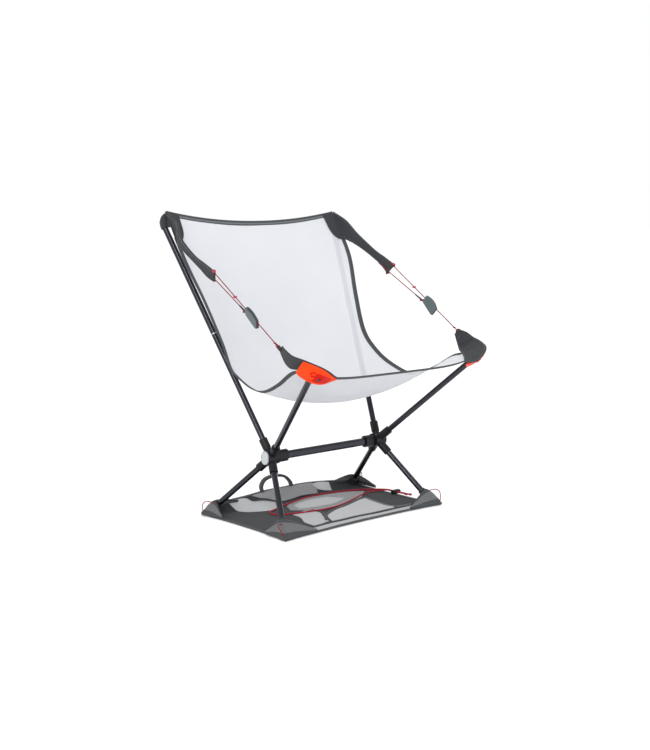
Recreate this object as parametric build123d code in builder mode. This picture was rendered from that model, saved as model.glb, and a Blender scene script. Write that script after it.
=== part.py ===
"""Ultralight backpacking chair: four poles and four legs in two hubs, a mesh sling and a ground sheet.

Millimetres, +Z up, +X to the sitter's left as the chair faces -Y. The origin is on the floor, midway
between the hubs and under their common axis.
"""
from build123d import *
import os
from math import cos, hypot, pi, radians, sin, tan

os.makedirs("parts", exist_ok=True)
SIDES = (("left", -1), ("right", 1))

# Frame points on the +X side, the other side is their mirror image.
HUB = Vector(155, 0, 137)
REAR_FOOT = Vector(207, 134, 12)
FRONT_FOOT = Vector(211.5, -104, 12)
REAR_TIP = Vector(244, 240, 610)
FRONT_TIP = Vector(236, -216, 336)

# Poles and sockets.
POLE_R = 6.2
POLE_BORE_R = 5.4
SOCKET_R = 9.0
SOCKET_REACH = 38.0
CORE_R = 15.0
CORE_HALF = 15.0
EYE_R = 10.0
EYE_HALF = 5.0
PIN_R = 3.0
RUNNING_GAP = 0.05
CLEAR = 0.4
KNUCKLE_FROM = 20.0
KNUCKLE_TO = 42.0
CROSSBAR_TALL = 17.0
CROSSBAR_THICK = 11.0
SLEEVE_TALL = 26.0
SLEEVE_THICK = 18.0
SLEEVE_INNER_X = 114.0
SHOCK_CORD_R = 1.3
FERRULE_HALF = 30.0
FERRULE_RING = 2.0
REAR_SPLIT = 285.0

# Backrest travel about the hub axis, positive leans back.
LEAN_BACK = 3.5
LEAN_FORWARD = 6.0

# Sling: half width, centre of the section and its edge, as (y, z), from the top down to the front.
PANEL_T = 1.6
BACK_STATIONS = (
    (240, (237, 608), (229, 615)),
    (243, (223, 575), (206, 588)),
    (240, (202, 520), (174, 535)),
    (222, (176, 438), (136, 457)),
    (209, (141, 349), (96, 375)),
    (216, (99, 292), (61, 330)),
    (221, (77.2, 273), (46.2, 319)),
)
SEAT_STATIONS = (
    (221, (76, 272), (45, 318)),
    (223, (52, 258), (28, 306)),
    (222, (-11, 245), (-20, 288)),
    (223, (-62, 245), (-58, 287)),
    (228, (-117, 270), (-106, 306)),
    (232, (-171, 306), (-160, 335)),
    (217, (-212, 320), (-214, 330)),
)
HEM_T = 2.6
HEM_TALL = 10.0

# Tension line: the cord runs from the front tab to the upper corner of the wing strap.
TAB = Vector(257, -146, 382)
WING_END = Vector(257, 53, 519)
WING_TILT = 23.6
CORD_R = 1.0
STRAP_T = 5.2
SLOT_T = 3.6
SLOT_DEPTH = 58.0
MAIN_HIDDEN = 22.0
RETURN_HIDDEN = 35.0
ADJUSTER_AT = 100.0
ADJUSTER_LONG = 40.0
ADJUSTER_T = 9.0
BEAD_AT = 161.0
RETURN_AT_WING = 16.8
RETURN_AT_ADJUSTER = 8.0

# Ground sheet.
SHEET_T = 2.0
SHEET_X = 240.0
SHEET_FRONT = -145.0
SHEET_REAR = 156.0
SHEET_BOW = 12.0
FOOT_R = 9.6
BUNGEE_R = 1.5
LOCK = Vector(222, 5, 7.6)
LOCK_R = 5.2
LOCK_CLOSED_END = 12.0
LOCK_OPEN_END = 7.0
LOCK_WALL = 1.5
PLUNGER_R = 4.2
PLUNGER_TRAVEL = 2.0
SPRING_LONG = 3.6
STRAND_GAP = 2.3


def on(side, point):
    """A point of the +X side on the named side."""
    return Vector(side * point.X, point.Y, point.Z)


def finish(piece, label):
    piece.part.label = label
    export_step(piece.part, f"parts/{label}.step")


def across(origin, toward):
    """A plane at origin whose normal points toward the second point, with its x axis near world X."""
    normal = (toward - origin).normalized()
    flat = Vector(1, 0, 0)
    return Plane(origin=origin, x_dir=flat - normal * flat.dot(normal), z_dir=normal)


def along(start, toward, distance):
    return start + (toward - start).normalized() * distance


def tube(start, toward, near, far, radius, bore=0.0):
    """A round tube on the line from start toward a point, between two distances from start."""
    plane = across(along(start, toward, near), along(start, toward, far))
    with BuildPart() as piece:
        with BuildSketch(plane):
            Circle(radius)
            if bore:
                Circle(bore, mode=Mode.SUBTRACT)
        extrude(amount=far - near)
    return piece


def flat_plate(points, thickness, lie_on=None):
    """A plate whose outline is the points, flattened onto a plane through three points."""
    first, second, third = lie_on or points[:3]
    normal = (second - first).cross(third - first).normalized()
    plane = Plane(origin=first, x_dir=second - first, z_dir=normal)
    outline = [plane.to_local_coords(p) for p in points]
    with BuildPart() as plate:
        with BuildSketch(plane):
            with BuildLine():
                Polyline(*[(p.X, p.Y) for p in outline], close=True)
            make_face()
        extrude(amount=thickness / 2, both=True)
    return plate.part


def band_section(half_width, centre, edge, thickness):
    """A thin crescent across the sling, its inner face through the centre and both edges."""
    depth = hypot(edge[0] - centre[0], edge[1] - centre[1])
    up = Vector(0, (edge[0] - centre[0]) / depth, (edge[1] - centre[1]) / depth)
    plane = Plane(origin=(0, *centre), x_dir=(1, 0, 0), z_dir=Vector(1, 0, 0).cross(up))
    with BuildSketch(plane) as section:
        with BuildLine():
            ThreePointArc((-half_width, depth), (0, 0), (half_width, depth))
            Line((half_width, depth), (half_width, depth - thickness))
            ThreePointArc((half_width, depth - thickness), (0, -thickness), (-half_width, depth - thickness))
            Line((-half_width, depth - thickness), (-half_width, depth))
        make_face()
    return section.sketch


def panel(stations, thickness):
    """A ruled shell through the crescents at the stations."""
    sections = [band_section(*station, thickness) for station in stations]
    with BuildPart() as shell:
        for first, second in zip(sections, sections[1:]):
            loft([first, second], ruled=True)
    return shell


# --- crossbar -------------------------------------------------------------------------------------
crossbar_half = HUB.X - CORE_HALF - 1.0
with BuildPart() as crossbar:
    with BuildSketch(Plane.YZ.offset(-crossbar_half)) as bar_profile:
        with Locations((0, HUB.Z)):
            SlotOverall(CROSSBAR_TALL, CROSSBAR_THICK, rotation=90)
            SlotOverall(CROSSBAR_TALL - 2.4, CROSSBAR_THICK - 2.4, rotation=90, mode=Mode.SUBTRACT)
    extrude(amount=2 * crossbar_half)
finish(crossbar, "crossbar")

# --- hubs -----------------------------------------------------------------------------------------
for name, side in SIDES:
    centre = on(side, HUB)
    rear_tip = on(side, REAR_TIP)
    fixed = [on(side, REAR_FOOT), on(side, FRONT_FOOT), on(side, FRONT_TIP)]
    neck_plane = across(centre, rear_tip)
    swing = KNUCKLE_FROM * sin(radians(LEAN_FORWARD))
    with BuildPart() as hub:
        with BuildSketch(Plane.YZ.offset(centre.X - CORE_HALF)):
            with Locations((0, HUB.Z)):
                Circle(CORE_R)
        extrude(amount=2 * CORE_HALF)
        for target in fixed:
            with BuildSketch(across(centre, target)):
                Circle(SOCKET_R)
            extrude(amount=SOCKET_REACH)
        with BuildSketch(Plane.YZ.offset(side * SLEEVE_INNER_X)):
            with Locations((0, HUB.Z)):
                SlotOverall(SLEEVE_TALL, SLEEVE_THICK, rotation=90)
        extrude(amount=side * (HUB.X - CORE_HALF - SLEEVE_INNER_X + 2))
        with BuildSketch(Plane.YZ.offset(centre.X - EYE_HALF - CLEAR)):
            with Locations((0, HUB.Z)):
                Circle(EYE_R + CLEAR)
        extrude(amount=2 * (EYE_HALF + CLEAR), mode=Mode.SUBTRACT)
        with BuildSketch(neck_plane):
            Rectangle(2 * (EYE_HALF + CLEAR), 2 * (EYE_HALF + 1.0 + CLEAR + swing))
        extrude(amount=SOCKET_REACH, mode=Mode.SUBTRACT)
        for target in fixed:
            with BuildSketch(across(along(centre, target, CORE_R + 1), target)):
                Circle(POLE_R)
            extrude(amount=SOCKET_REACH, mode=Mode.SUBTRACT)
        with BuildSketch(Plane.YZ.offset(side * (SLEEVE_INNER_X - 1))):
            with Locations((0, HUB.Z)):
                SlotOverall(CROSSBAR_TALL, CROSSBAR_THICK, rotation=90)
        extrude(amount=side * (crossbar_half - SLEEVE_INNER_X + 1), mode=Mode.SUBTRACT)
        with BuildSketch(Plane.YZ.offset(centre.X - CORE_HALF)):
            with Locations((0, HUB.Z)):
                Circle(PIN_R)
        extrude(amount=2 * CORE_HALF, mode=Mode.SUBTRACT)
    finish(hub, f"hub_{name}")

    with BuildPart() as hub_cap:
        with BuildSketch(Plane.YZ.offset(side * (HUB.X + CORE_HALF))):
            with Locations((0, HUB.Z)):
                SlotOverall(28, 19, rotation=90)
        extrude(amount=side * 4)
        fillet(hub_cap.faces().sort_by(Axis.X)[-1 if side > 0 else 0].edges(), 1.2)
    finish(hub_cap, f"hub_cap_{name}")

    with BuildPart() as knuckle:
        with BuildSketch(Plane.YZ.offset(centre.X - EYE_HALF)):
            with Locations((0, HUB.Z)):
                Circle(EYE_R)
        extrude(amount=2 * EYE_HALF)
        with BuildSketch(neck_plane):
            Rectangle(2 * EYE_HALF, 2 * (EYE_HALF + 1.0))
        extrude(amount=KNUCKLE_FROM + 3)
        with BuildSketch(across(along(centre, rear_tip, KNUCKLE_FROM), rear_tip)):
            Circle(SOCKET_R)
        extrude(amount=KNUCKLE_TO - KNUCKLE_FROM)
        with BuildSketch(across(along(centre, rear_tip, KNUCKLE_FROM + 4), rear_tip)):
            Circle(POLE_R)
        extrude(amount=KNUCKLE_TO, mode=Mode.SUBTRACT)
        with BuildSketch(Plane.YZ.offset(centre.X - 2 * EYE_HALF)):
            with Locations((0, HUB.Z)):
                Circle(PIN_R + RUNNING_GAP)
        extrude(amount=4 * EYE_HALF, mode=Mode.SUBTRACT)
    finish(knuckle, f"knuckle_{name}")

with BuildPart() as hub_pins:
    for name, side in SIDES:
        with BuildSketch(Plane.YZ.offset(side * HUB.X - CORE_HALF)):
            with Locations((0, HUB.Z)):
                Circle(PIN_R)
        extrude(amount=2 * CORE_HALF)
finish(hub_pins, "hub_pins")

# --- legs, feet and poles -------------------------------------------------------------------------
for name, side in SIDES:
    centre = on(side, HUB)
    for end, foot_point in (("rear", on(side, REAR_FOOT)), ("front", on(side, FRONT_FOOT))):
        reach = (foot_point - centre).length
        leg = tube(centre, foot_point, CORE_R + 1, reach - 6, POLE_R, POLE_BORE_R)
        finish(leg, f"{end}_leg_{name}")

        with BuildPart() as foot:
            with Locations(foot_point):
                Sphere(FOOT_R)
            with BuildSketch(across(along(centre, foot_point, reach - 24), foot_point)):
                Circle(FOOT_R - 1.6)
            extrude(amount=24)
            with BuildSketch(across(along(centre, foot_point, reach - 25), foot_point)):
                Circle(POLE_R)
            extrude(amount=19, mode=Mode.SUBTRACT)
        finish(foot, f"{end}_foot_{name}")

    front_tip = on(side, FRONT_TIP)
    front_reach = (front_tip - centre).length
    front_pole = tube(centre, front_tip, CORE_R + 1, front_reach - 7, POLE_R, POLE_BORE_R)
    finish(front_pole, f"front_pole_{name}")

    with BuildPart() as front_ball:
        with Locations(front_tip):
            Sphere(8.0)
        with BuildSketch(across(along(centre, front_tip, front_reach - 24), front_tip)):
            Circle(POLE_BORE_R)
        extrude(amount=20)
    finish(front_ball, f"front_ball_{name}")

    rear_tip = on(side, REAR_TIP)
    rear_reach = (rear_tip - centre).length
    ring = FERRULE_RING / 2
    lower = tube(centre, rear_tip, KNUCKLE_FROM + 4, REAR_SPLIT - ring, POLE_R, POLE_BORE_R)
    finish(lower, f"rear_pole_lower_{name}")
    upper = tube(centre, rear_tip, REAR_SPLIT + ring, rear_reach, POLE_R, POLE_BORE_R)
    finish(upper, f"rear_pole_upper_{name}")

    with BuildPart() as rear_tip_cap:
        with BuildSketch(across(along(centre, rear_tip, rear_reach - 14), rear_tip)):
            Circle(POLE_BORE_R)
        extrude(amount=14)
        with BuildSketch(across(rear_tip, along(centre, rear_tip, rear_reach + 10))):
            Circle(POLE_R + 0.6)
        extrude(amount=14)
        fillet(rear_tip_cap.faces().sort_by(Axis.Z)[-1].edges(), 3)
    finish(rear_tip_cap, f"rear_tip_{name}")

    with BuildPart() as rear_pocket:
        with BuildSketch(across(rear_tip, along(centre, rear_tip, rear_reach + 10))):
            Circle(POLE_R + 2.6)
        extrude(amount=17)
        with BuildSketch(across(rear_tip, along(centre, rear_tip, rear_reach + 10))):
            Circle(POLE_R + 0.6)
        extrude(amount=14, mode=Mode.SUBTRACT)
    finish(rear_pocket, f"rear_pocket_{name}")

with BuildPart() as rear_ferrules:
    for name, side in SIDES:
        centre = on(side, HUB)
        rear_tip = on(side, REAR_TIP)
        with BuildSketch(across(along(centre, rear_tip, REAR_SPLIT - FERRULE_HALF), rear_tip)):
            Circle(POLE_BORE_R)
            Circle(SHOCK_CORD_R + 1.2, mode=Mode.SUBTRACT)
        extrude(amount=2 * FERRULE_HALF)
        with BuildSketch(across(along(centre, rear_tip, REAR_SPLIT - FERRULE_RING / 2), rear_tip)):
            Circle(POLE_R)
            Circle(POLE_BORE_R - 1, mode=Mode.SUBTRACT)
        extrude(amount=FERRULE_RING)
finish(rear_ferrules, "rear_ferrules")

with BuildPart() as shock_cords_rear:
    for name, side in SIDES:
        centre = on(side, HUB)
        rear_tip = on(side, REAR_TIP)
        with BuildSketch(across(along(centre, rear_tip, KNUCKLE_FROM + 4), rear_tip)):
            Circle(SHOCK_CORD_R)
        extrude(amount=(rear_tip - centre).length - 14 - KNUCKLE_FROM - 4)
finish(shock_cords_rear, "shock_cords_rear")

with BuildPart() as shock_cords_base:
    for name, side in SIDES:
        centre = on(side, HUB)
        for target, stop in ((REAR_FOOT, 6), (FRONT_FOOT, 6), (FRONT_TIP, 24)):
            target = on(side, target)
            with BuildSketch(across(along(centre, target, CORE_R + 1), target)):
                Circle(SHOCK_CORD_R)
            extrude(amount=(target - centre).length - stop - CORE_R - 1)
finish(shock_cords_base, "shock_cords_base")

# --- sling ----------------------------------------------------------------------------------------
back_panel = panel(BACK_STATIONS, PANEL_T)
finish(back_panel, "back_panel")
seat_panel = panel(SEAT_STATIONS, PANEL_T)
finish(seat_panel, "seat_panel")

with BuildPart() as top_hem:
    with BuildLine() as hem_line:
        ThreePointArc((-238, 239, 637), (0, 243, 617), (238, 239, 637))
    hem_start = hem_line.line @ 0
    with BuildSketch(Plane(origin=hem_start, x_dir=(0, 0.3, 1), z_dir=hem_line.line % 0)):
        Rectangle(HEM_TALL, HEM_T)
    sweep()
finish(top_hem, "top_hem")

front_width, front_centre, front_edge = SEAT_STATIONS[-1]
lip = ((front_centre[0] - 9, front_centre[1] + 3), (front_edge[0] - 9, front_edge[1] + 3))
front_hem = panel(((front_width, front_centre, front_edge), (front_width, *lip)), HEM_T)
finish(front_hem, "front_hem")

for name, side in SIDES:
    fabric = [Vector(243, 240, 643), Vector(190, 236, 612), Vector(243, 190, 577)]
    corner = [
        Vector(243, 238, 642),
        Vector(194, 241, 630),
        Vector(190, 238, 610),
        Vector(200, 226, 592),
        Vector(222, 208, 578),
        Vector(243, 190, 577),
        Vector(246, 196, 621),
    ]
    with BuildPart() as rear_patch:
        add(flat_plate([on(side, p) for p in corner], 3.0, [on(side, p) for p in fabric]))
    finish(rear_patch, f"rear_patch_{name}")

    line = (WING_END - TAB).normalized()
    down = Vector(0, line.Z, -line.Y)
    tilt = radians(WING_TILT)
    width = Vector(-sin(tilt), down.Y * cos(tilt), down.Z * cos(tilt))
    strap_plane = Plane(origin=on(side, WING_END), x_dir=line, z_dir=line.cross(on(side, width)))
    with BuildPart() as side_wing:
        with BuildSketch(strap_plane):
            with BuildLine():
                Polyline(
                    (0, -3.4), (60, -6), (120, -8), (176, 1.7), (146, 33), (110, 31), (60, 26.5), (0, 25.2),
                    close=True,
                )
            make_face()
        extrude(amount=STRAP_T / 2, both=True)
        with BuildSketch(strap_plane):
            with Locations((SLOT_DEPTH / 2 - 1, 10.8)):
                Rectangle(SLOT_DEPTH + 2, 25.2)
        extrude(amount=SLOT_T / 2, both=True, mode=Mode.SUBTRACT)
    finish(side_wing, f"side_wing_{name}")

    tab = on(side, TAB)
    flap = [
        Vector(241, -160, 337),
        Vector(248, -230, 352),
        Vector(257, -150, 387),
        Vector(257, -140, 384),
        Vector(256, -140, 378),
    ]
    normal = (flap[1] - flap[0]).cross(flap[2] - flap[0]).normalized()
    tab_plane = Plane(origin=tab, x_dir=on(side, line), z_dir=on(side, normal))
    with BuildPart() as front_patch:
        add(flat_plate([on(side, p) for p in flap], 2.4))
        with BuildSketch(tab_plane):
            Circle(8)
        extrude(amount=1.2, both=True)
        with BuildSketch(tab_plane):
            Circle(4)
        extrude(amount=6, both=True, mode=Mode.SUBTRACT)
    finish(front_patch, f"front_patch_{name}")

    centre = on(side, HUB)
    front_tip = on(side, FRONT_TIP)
    front_reach = (front_tip - centre).length
    side_plate = [(243, -168, 334), (243, -184, 350), (246, -230, 346), (243, -226, 322), (243, -200, 316)]
    front_plate = [(246, -228, 346), (174, -222, 322), (190, -221, 313), (243, -226, 318)]
    with BuildPart() as front_socket:
        add(flat_plate([on(side, Vector(*p)) for p in side_plate], 3.0))
        add(flat_plate([on(side, Vector(*p)) for p in front_plate], 3.0))
        with BuildSketch(across(along(centre, front_tip, front_reach - 12), front_tip)):
            Circle(11)
        extrude(amount=22)
        with Locations(front_tip):
            Sphere(8.0, mode=Mode.SUBTRACT)
        with BuildSketch(across(along(centre, front_tip, front_reach - 13), front_tip)):
            Circle(7.0)
        extrude(amount=13, mode=Mode.SUBTRACT)
    finish(front_socket, f"front_socket_{name}")

    # Cord, stop bead and adjuster on the tension line.
    wing_end = on(side, WING_END)
    fork = along(tab, wing_end, 14)
    loop_half = 4.2
    sideways = Vector(1, 0, 0) * loop_half
    with BuildPart() as main_cord:
        with BuildLine() as eye:
            FilletPolyline(fork - sideways, tab - sideways, tab + sideways, fork + sideways, radius=2.6)
        with BuildSketch(across(eye.line @ 0, tab - sideways)):
            Circle(CORD_R)
        sweep()
        with Locations(fork):
            Box(2 * (loop_half + CORD_R), 4, 4)
        with BuildSketch(across(fork, wing_end)):
            Circle(CORD_R)
        extrude(amount=(wing_end - fork).length + MAIN_HIDDEN)
    finish(main_cord, f"main_cord_{name}")

    bead = tube(tab, wing_end, BEAD_AT - 2.5, BEAD_AT + 2.5, 2.6, CORD_R)
    finish(bead, f"stop_bead_{name}")

    far_end = ADJUSTER_AT + ADJUSTER_LONG / 2
    half = ADJUSTER_LONG / 2
    body_plane = Plane(
        origin=along(tab, wing_end, ADJUSTER_AT), x_dir=line, z_dir=line.cross(on(side, width))
    )
    with BuildPart() as adjuster:
        with BuildSketch(body_plane) as outline:
            with BuildLine():
                Polyline(
                    (-half - 2, -1.5), (-half + 9, -7), (2, -10.2), (half - 1, -8.5), (half, 10.5), (0, 13.8),
                    (-half, 17.2), (-half - 2.5, 15), close=True
                )
            make_face()
            fillet(outline.vertices(), 1.8)
        extrude(amount=ADJUSTER_T / 2, both=True)
        with BuildSketch(across(along(tab, wing_end, ADJUSTER_AT - half - 4), wing_end)):
            Circle(CORD_R + 0.35)
        extrude(amount=ADJUSTER_LONG + 8, mode=Mode.SUBTRACT)
    finish(adjuster, f"adjuster_{name}")

    anchor = along(tab, wing_end, far_end + 0.2) + on(side, width) * RETURN_AT_ADJUSTER
    mouth = wing_end + on(side, width) * RETURN_AT_WING
    strand = (mouth - anchor).length
    with BuildPart() as return_cord:
        with BuildSketch(across(anchor, mouth)):
            Circle(CORD_R)
        extrude(amount=strand + RETURN_HIDDEN)
        with Locations(along(anchor, mouth, 3.2)):
            Sphere(2.9)
        with BuildSketch(across(along(anchor, mouth, 6), mouth)):
            Circle(1.8)
        extrude(amount=13)
    finish(return_cord, f"return_cord_{name}")

# --- ground sheet ---------------------------------------------------------------------------------
sheet_middle = (SHEET_FRONT + SHEET_REAR) / 2
with BuildPart() as ground_sheet:
    with BuildSketch(Plane.XY):
        with BuildLine():
            ThreePointArc((-SHEET_X, SHEET_FRONT), (0, SHEET_FRONT + SHEET_BOW), (SHEET_X, SHEET_FRONT))
            ThreePointArc((SHEET_X, SHEET_FRONT), (SHEET_X - SHEET_BOW, sheet_middle), (SHEET_X, SHEET_REAR))
            ThreePointArc((SHEET_X, SHEET_REAR), (0, SHEET_REAR - SHEET_BOW), (-SHEET_X, SHEET_REAR))
            ThreePointArc((-SHEET_X, SHEET_REAR), (SHEET_BOW - SHEET_X, sheet_middle), (-SHEET_X, SHEET_FRONT))
        make_face()
    extrude(amount=SHEET_T)
finish(ground_sheet, "ground_sheet")

POCKET_HIGH = 34.0
with BuildPart() as corner_pockets:
    for x_sign in (-1, 1):
        for foot_point, y_corner in ((REAR_FOOT, SHEET_REAR - 5), (FRONT_FOOT, SHEET_FRONT + 5)):
            outward = 1 if y_corner > 0 else -1
            x_corner = x_sign * (SHEET_X - 5)
            inner_x = x_sign * (foot_point.X - 16)
            inner_y = foot_point.Y - outward * 16
            with BuildSketch(Plane.XY.offset(SHEET_T)):
                with BuildLine():
                    Polyline(
                        (x_corner, y_corner), (inner_x, y_corner), (inner_x, y_corner - outward * 2),
                        (x_corner - x_sign * 2, y_corner - outward * 2),
                        (x_corner - x_sign * 2, inner_y), (x_corner, inner_y), close=True,
                    )
                make_face()
            extrude(amount=POCKET_HIGH * 0.6)
finish(corner_pockets, "corner_pockets")

LOOP_R = 1.0
with BuildPart() as tie_loops:
    for x_sign in (-1, 1):
        for y_corner, inward in ((SHEET_REAR - 10, -1), (SHEET_FRONT + 10, 1)):
            x_corner = x_sign * (SHEET_X + 2)
            with BuildLine() as loop_line:
                ThreePointArc(
                    (x_corner, y_corner, SHEET_T + LOOP_R),
                    (x_corner + x_sign * 3, y_corner + inward * 10, 28),
                    (x_corner, y_corner + inward * 20, SHEET_T + LOOP_R),
                )
            with BuildSketch(Plane(origin=loop_line.line @ 0, z_dir=loop_line.line % 0)):
                Circle(LOOP_R)
            sweep()
finish(tie_loops, "tie_loops")

HANDLE_X = -48.0
HANDLE_HALF = 36.0
HANDLE_HIGH = 34.0
HANDLE_WIDE = 14.0
HANDLE_T = 1.8
with BuildPart() as carry_handle:
    with BuildSketch(Plane.XZ.offset(-(SHEET_REAR - SHEET_BOW + 2))):
        with BuildLine():
            outer = ThreePointArc(
                (HANDLE_X - HANDLE_HALF, SHEET_T), (HANDLE_X, HANDLE_HIGH), (HANDLE_X + HANDLE_HALF, SHEET_T)
            )
            inner = ThreePointArc(
                (HANDLE_X - HANDLE_HALF + HANDLE_T, SHEET_T),
                (HANDLE_X, HANDLE_HIGH - HANDLE_T),
                (HANDLE_X + HANDLE_HALF - HANDLE_T, SHEET_T),
            )
            Line(outer @ 0, inner @ 0)
            Line(outer @ 1, inner @ 1)
        make_face()
    extrude(amount=HANDLE_WIDE)
finish(carry_handle, "carry_handle")

# Elastic cord: from one knotted end through the lock, out to the turn and back through the lock.
LOW = SHEET_T + BUNGEE_R + 0.3
HIGH = LOCK.Z
OUTER_X = LOCK.X + STRAND_GAP
INNER_X = LOCK.X - STRAND_GAP
BUNGEE_ROUTE = (
    (OUTER_X, -36, HIGH), (OUTER_X, 36, HIGH), (214, 66, LOW + 1), (186, 88, LOW), (140, 106, LOW),
    (84, 115, LOW), (22, 109, LOW), (-40, 88, LOW), (-92, 68, LOW), (-118, 54, LOW), (-119, 32, LOW),
    (-96, 16, LOW), (-48, 6, LOW), (8, -4, LOW), (62, 8, LOW), (114, 30, LOW), (164, 52, LOW),
    (198, 56, LOW + 1), (INNER_X, 32, HIGH), (INNER_X, -28, HIGH),
)
route = [Vector(*p) for p in BUNGEE_ROUTE]
arc_radii = []
for before, corner_point, after in zip(route, route[1:], route[2:]):
    turn = radians((corner_point - before).get_angle(after - corner_point))
    shorter = min((corner_point - before).length, (after - corner_point).length)
    arc_radii.append(0.45 * shorter / tan(turn / 2))
print("bungee arc radii", [round(r, 1) for r in arc_radii])
with BuildPart() as bungee:
    with BuildLine() as bungee_line:
        FilletPolyline(*route, radius=arc_radii)
    with BuildSketch(across(route[0], route[1])):
        Circle(BUNGEE_R)
    sweep()
    for tail in (route[0], route[-1]):
        with Locations(tail):
            Sphere(BUNGEE_R + 1.2)
bungee_length = sum(edge.length for edge in bungee_line.edges())
print("bungee length", round(bungee_length, 1), "tube volume", round(pi * BUNGEE_R**2 * bungee_length))
finish(bungee, "bungee")

# Cord lock: a barrel along X with a sprung plunger, the strands pass through both.
STRAND_SLOT = 2 * (STRAND_GAP + BUNGEE_R) + 1.2
with BuildPart() as cord_lock_body:
    with BuildSketch(Plane.YZ.offset(LOCK.X - LOCK_CLOSED_END)):
        with Locations((LOCK.Y, LOCK.Z)):
            Circle(LOCK_R)
    extrude(amount=LOCK_CLOSED_END + LOCK_OPEN_END)
    with BuildSketch(Plane.YZ.offset(LOCK.X - LOCK_CLOSED_END + LOCK_WALL)):
        with Locations((LOCK.Y, LOCK.Z)):
            Circle(PLUNGER_R + RUNNING_GAP)
    extrude(amount=LOCK_CLOSED_END + LOCK_OPEN_END, mode=Mode.SUBTRACT)
    with BuildSketch(Plane.XZ.offset(-LOCK.Y - LOCK_R - 1)):
        with Locations((LOCK.X, LOCK.Z)):
            SlotOverall(STRAND_SLOT, 2 * BUNGEE_R + 1.2)
    extrude(amount=2 * LOCK_R + 2, mode=Mode.SUBTRACT)
finish(cord_lock_body, "cord_lock_body")

spring_start = LOCK.X - LOCK_CLOSED_END + LOCK_WALL
plunger_start = spring_start + SPRING_LONG
with BuildPart() as cord_lock_button:
    with BuildSketch(Plane.YZ.offset(plunger_start)):
        with Locations((LOCK.Y, LOCK.Z)):
            Circle(PLUNGER_R)
    extrude(amount=LOCK.X + LOCK_OPEN_END + PLUNGER_TRAVEL + 1.5 - plunger_start)
    with BuildSketch(Plane.XZ.offset(-LOCK.Y - LOCK_R - 1)):
        with Locations((LOCK.X + PLUNGER_TRAVEL / 2, LOCK.Z)):
            SlotOverall(STRAND_SLOT + PLUNGER_TRAVEL, 2 * BUNGEE_R + 0.8)
    extrude(amount=2 * LOCK_R + 2, mode=Mode.SUBTRACT)
finish(cord_lock_button, "cord_lock_button")

SPRING_R = 2.6
SPRING_WIRE = 0.25
with BuildPart() as lock_spring:
    with BuildLine() as coil:
        Helix(
            pitch=1.2,
            height=SPRING_LONG - 4 * SPRING_WIRE,
            radius=SPRING_R,
            center=(spring_start + 2 * SPRING_WIRE, LOCK.Y, LOCK.Z),
            direction=(1, 0, 0),
        )
    with BuildSketch(Plane(origin=coil.line @ 0, z_dir=coil.line % 0)):
        Circle(SPRING_WIRE)
    sweep(is_frenet=True)
finish(lock_spring, "lock_spring")
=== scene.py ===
"""The looks of an ultralight backpacking chair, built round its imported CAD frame. Metres, +Z up."""
import math

import bpy
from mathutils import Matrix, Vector


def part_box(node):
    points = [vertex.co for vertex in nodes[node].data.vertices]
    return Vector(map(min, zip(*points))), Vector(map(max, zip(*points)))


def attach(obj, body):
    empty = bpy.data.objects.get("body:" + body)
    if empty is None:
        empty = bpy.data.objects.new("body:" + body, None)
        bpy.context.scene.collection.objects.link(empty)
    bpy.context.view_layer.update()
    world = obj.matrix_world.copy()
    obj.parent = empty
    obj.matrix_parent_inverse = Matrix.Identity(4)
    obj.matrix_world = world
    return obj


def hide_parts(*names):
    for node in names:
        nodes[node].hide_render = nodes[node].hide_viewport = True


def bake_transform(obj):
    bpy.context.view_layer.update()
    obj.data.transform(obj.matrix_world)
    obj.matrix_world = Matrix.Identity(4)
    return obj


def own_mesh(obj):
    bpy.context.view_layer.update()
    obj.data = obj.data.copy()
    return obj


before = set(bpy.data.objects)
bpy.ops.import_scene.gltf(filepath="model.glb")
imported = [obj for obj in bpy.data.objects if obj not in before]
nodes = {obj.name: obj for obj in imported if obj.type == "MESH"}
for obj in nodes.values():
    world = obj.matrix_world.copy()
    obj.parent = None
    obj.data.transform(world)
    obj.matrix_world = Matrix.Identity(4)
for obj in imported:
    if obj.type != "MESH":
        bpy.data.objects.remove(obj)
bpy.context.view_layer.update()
SIDES = (("left", -1), ("right", 1))
MM = 0.001


def mm(*xyz):
    """A point given in millimetres."""
    return Vector(xyz) * MM


def mirrored(side, point):
    return Vector((side * point[0], point[1], point[2]))


# ---------------------------------------------------------------- camera and lights
AZIMUTH = math.radians(-42.74)
ELEVATION = math.radians(7.17)
TARGET = mm(-3.6, 0, 295.3)
toward_camera = Vector(
    (math.sin(AZIMUTH) * math.cos(ELEVATION), -math.cos(AZIMUTH) * math.cos(ELEVATION), math.sin(ELEVATION))
)
camera_data = bpy.data.cameras.new("camera")
camera_data.sensor_fit = "VERTICAL"
camera_data.sensor_height = 36
camera_data.lens = 61.25
camera = bpy.data.objects.new("camera", camera_data)
bpy.context.scene.collection.objects.link(camera)
camera.location = TARGET + toward_camera * 2.721
camera.rotation_euler = toward_camera.to_track_quat("Z", "Y").to_euler()
bpy.context.scene.camera = camera
LIGHT_AIM = Vector((0, 0, 0.3))


def strip_light(name, position, wide, tall, power):
    """An upright soft box aimed at the middle of the chair."""
    data = bpy.data.lights.new(name, "AREA")
    data.shape = "RECTANGLE"
    data.size = wide
    data.size_y = tall
    data.energy = power
    light = bpy.data.objects.new(name, data)
    bpy.context.scene.collection.objects.link(light)
    light.location = position
    light.rotation_euler = (Vector(position) - LIGHT_AIM).to_track_quat("Z", "Y").to_euler()


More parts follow.
